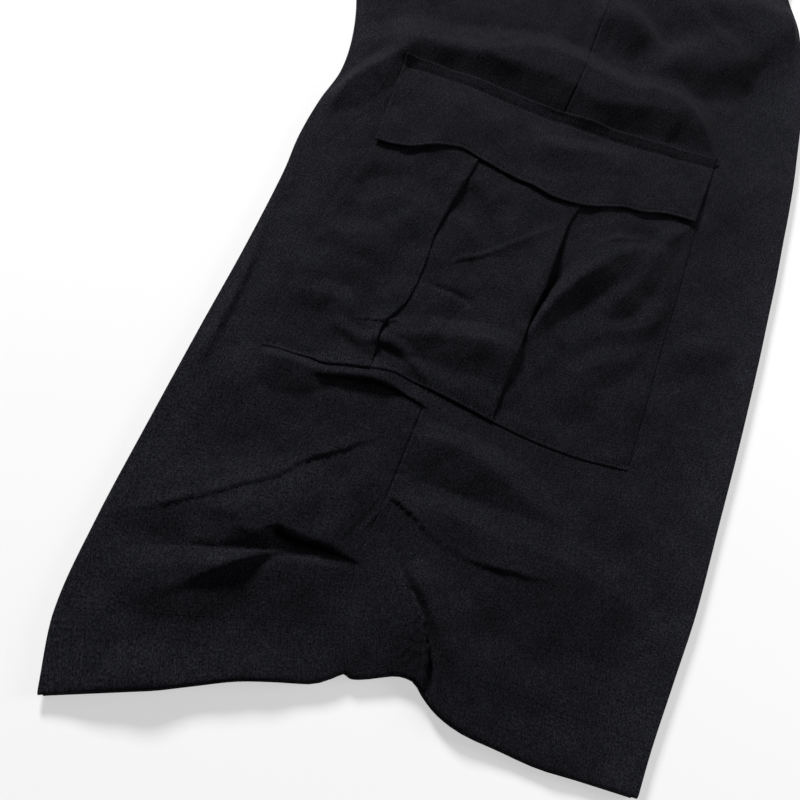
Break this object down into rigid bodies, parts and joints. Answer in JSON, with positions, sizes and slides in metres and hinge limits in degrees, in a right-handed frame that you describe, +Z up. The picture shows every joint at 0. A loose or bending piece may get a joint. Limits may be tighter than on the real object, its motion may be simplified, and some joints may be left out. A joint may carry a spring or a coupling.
{
  "type": "capri shorts",
  "caption": "Wide-leg cargo capri shorts lying flat on one side, with a pleated flap pocket on the outer side of each leg and a plain elasticated waist",
  "frame": {"origin": "on the surface the garment lies on, under the middle of its bounding box", "axes": "+X from the front of the garment to its back, +Y from the hems to the waist, +Z up from the surface"},
  "size_m": [0.4448, 0.9156, 0.0159],
  "materials": {
    "cloth": "soft black drapey weave with fine slubs and a low sheen"
  },
  "bodies": {
    "root": {"left_front": "cloth", "left_back": "cloth", "right_front": "cloth", "right_back": "cloth", "left_pocket": "cloth", "left_flap": "cloth", "right_pocket": "cloth", "right_flap": "cloth", "waistband": "cloth"}
  },
  "joints": []
}
